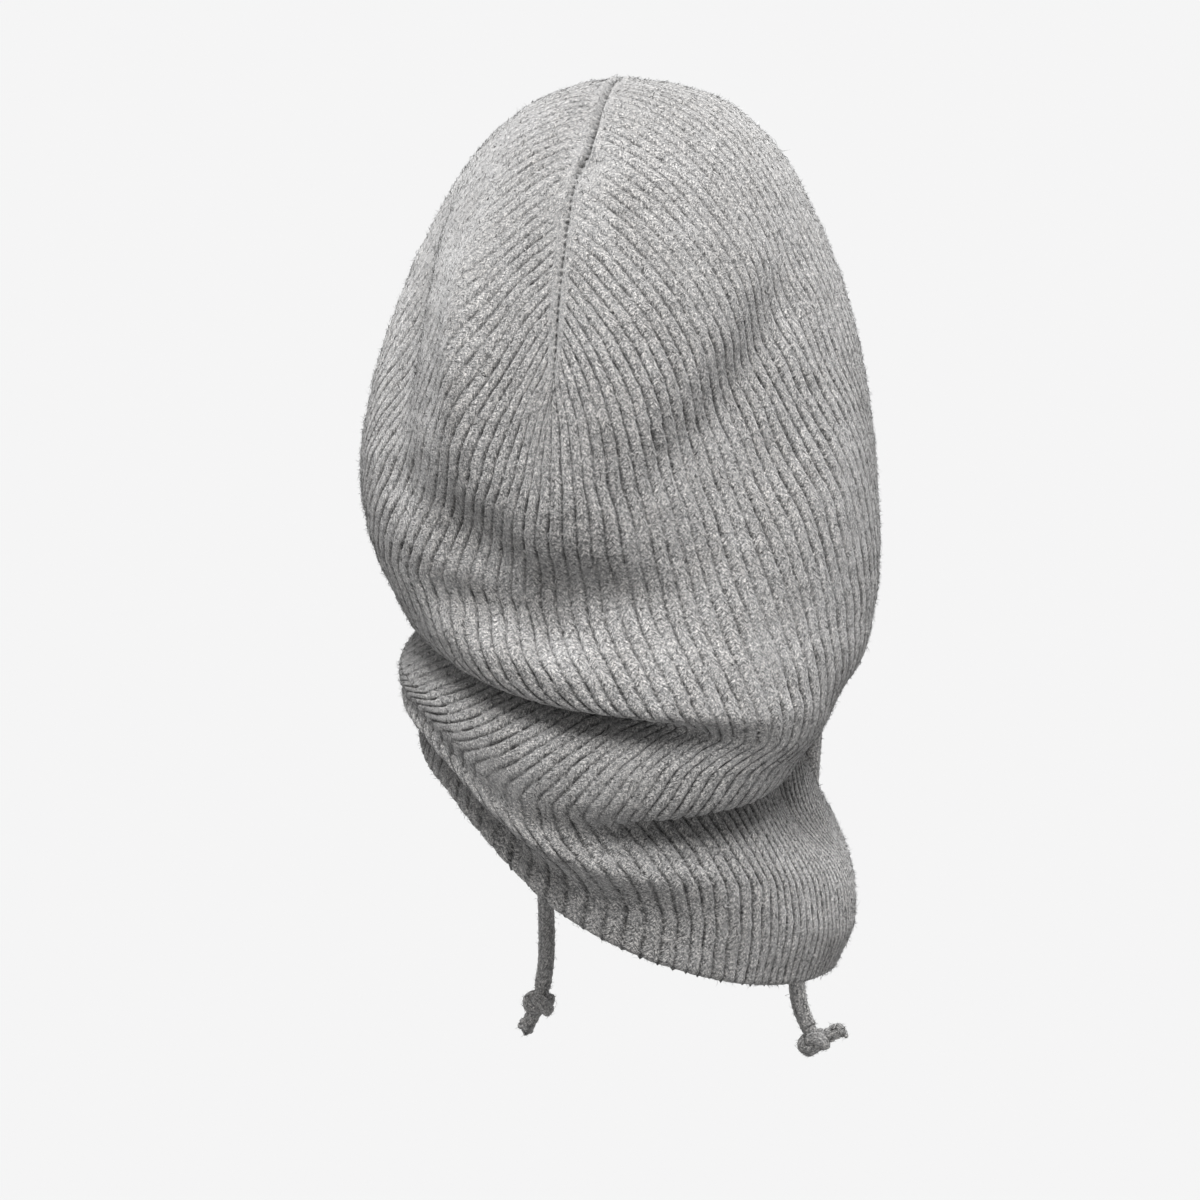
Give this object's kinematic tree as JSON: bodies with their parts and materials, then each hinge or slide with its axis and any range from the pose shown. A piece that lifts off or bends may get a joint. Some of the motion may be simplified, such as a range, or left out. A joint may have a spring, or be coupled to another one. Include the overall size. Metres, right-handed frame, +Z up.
{
  "type": "knit hood",
  "caption": "Ribbed knit pull-on hood with an oval face opening, a drawcord casing, two knotted cord ends and a long body sagging into rolls above a slanting collar.",
  "frame": {"origin": "inside top of the crown, where the hood sits on a head", "axes": "+Z up along the head, the face opening towards -Y, the wearer's left towards +X"},
  "size_m": [0.2055, 0.2191, 0.4156],
  "materials": {
    "felted_rib": "felted melange wool in 1x1 rib, matte with a fine halo of fibres",
    "casing_rib": "felted melange wool, matte",
    "cord_knit": "knitted tubular cord of melange wool, matte, frayed at the ends"
  },
  "bodies": {
    "root": {"hood_shell": "felted_rib", "face_casing": "casing_rib", "drawcord_left": "cord_knit", "drawcord_right": "cord_knit", "knot_left": "cord_knit", "knot_right": "cord_knit"}
  },
  "joints": []
}
